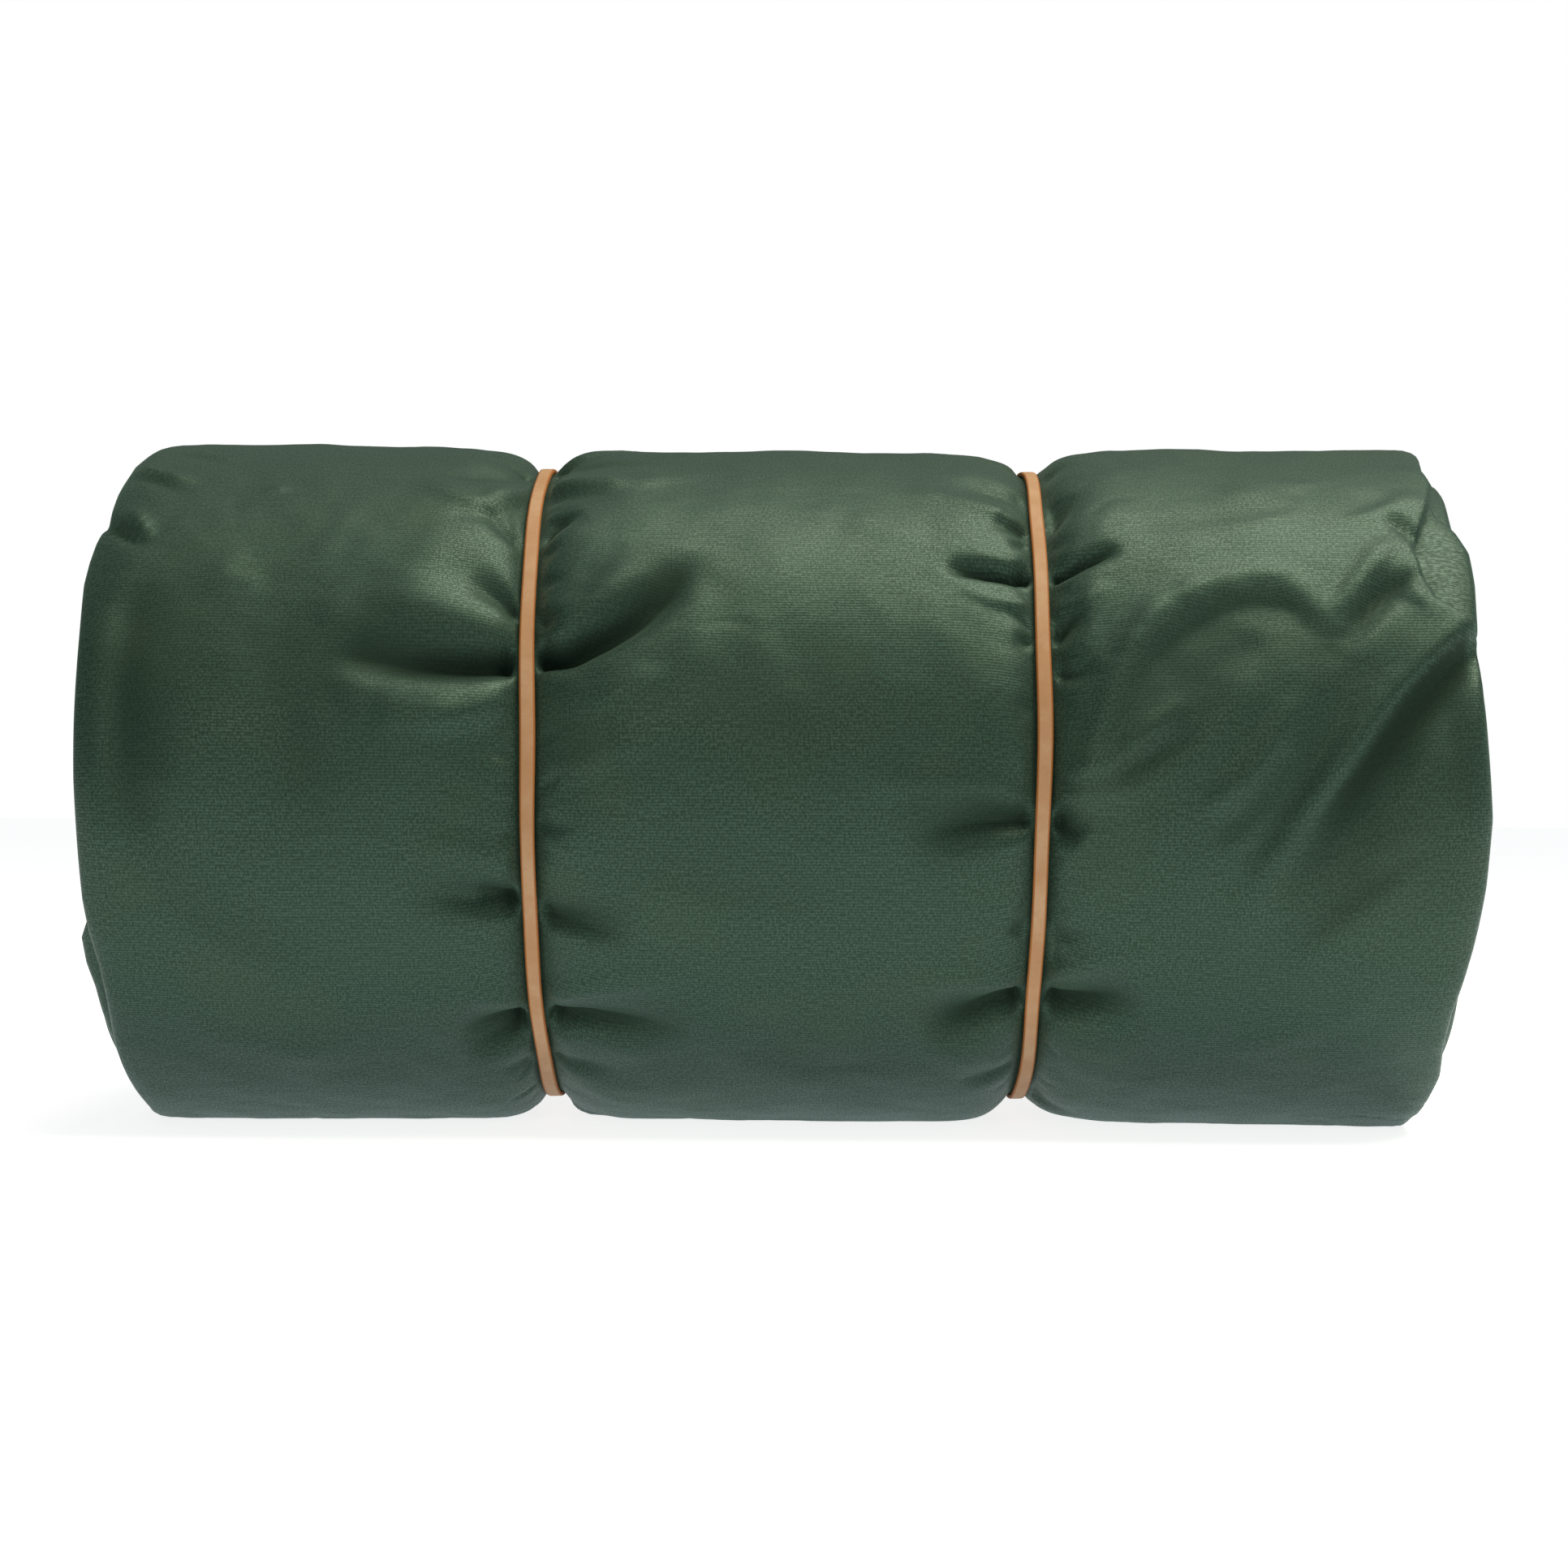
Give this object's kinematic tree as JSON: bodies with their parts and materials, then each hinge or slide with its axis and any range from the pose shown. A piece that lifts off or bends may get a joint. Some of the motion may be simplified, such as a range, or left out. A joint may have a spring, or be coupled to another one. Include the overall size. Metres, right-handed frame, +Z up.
{
  "type": "hammock tent",
  "caption": "Hammock tent packed as a soft roll: fly sheet, bed and insect net wound round straps, snap hooks and pegs, held by rubber bands.",
  "frame": {"origin": "on the floor, under the middle of the roll", "axes": "+X along the roll to the picture's right, -Y towards the picture's front, +Z up"},
  "size_m": [0.3, 0.1599, 0.1556],
  "materials": {
    "green_nylon": "dark green plain-weave nylon with a soft sheen",
    "bed_nylon": "dark green nylon, matt",
    "net_mesh": "fine dark mesh, matt",
    "tan_rubber": "natural tan rubber, slightly dusty",
    "webbing": "woven polyester webbing, matt",
    "steel": "bright drawn wire",
    "aluminium": "satin"
  },
  "bodies": {
    "roll": {"fly_sheet_roll": "green_nylon", "hammock_bed_roll": "bed_nylon", "insect_net_roll": "net_mesh", "tree_strap_front": "webbing", "tree_strap_back": "webbing", "peg_1": "steel", "peg_2": "steel", "peg_3": "steel", "peg_4": "steel", "peg_5": "steel", "peg_6": "steel", "snap_hook_left": "aluminium", "snap_hook_rivet_left": "steel", "snap_hook_right": "aluminium", "snap_hook_rivet_right": "steel"},
    "band_left": {"rubber_band_left": "tan_rubber"},
    "band_right": {"rubber_band_right": "tan_rubber"},
    "gate_left": {"snap_hook_gate_left": "aluminium", "snap_hook_latch_left": "steel"},
    "gate_right": {"snap_hook_gate_right": "aluminium", "snap_hook_latch_right": "steel"}
  },
  "joints": [
    {"name": "band_left_slide", "type": "slide", "parent": "roll", "child": "band_left", "axis": [-1, 0, 0], "range_m": [0, 0.12], "deforming": ["rubber_band_left"]},
    {"name": "band_right_slide", "type": "slide", "parent": "roll", "child": "band_right", "axis": [1, 0, 0], "range_m": [0, 0.12], "deforming": ["rubber_band_right"]},
    {"name": "gate_left_hinge", "type": "hinge", "parent": "roll", "child": "gate_left", "pos_m": [-0.06405, 0.0165, 0.09392], "axis": [0, 0, -1], "range_deg": [0, 30], "stiffness_Nm_per_rad": 0.25, "springref_deg": -22.92},
    {"name": "gate_right_hinge", "type": "hinge", "parent": "roll", "child": "gate_right", "pos_m": [0.02595, 0.0165, 0.09392], "axis": [0, 0, -1], "range_deg": [0, 30], "stiffness_Nm_per_rad": 0.25, "springref_deg": -22.92}
  ]
}
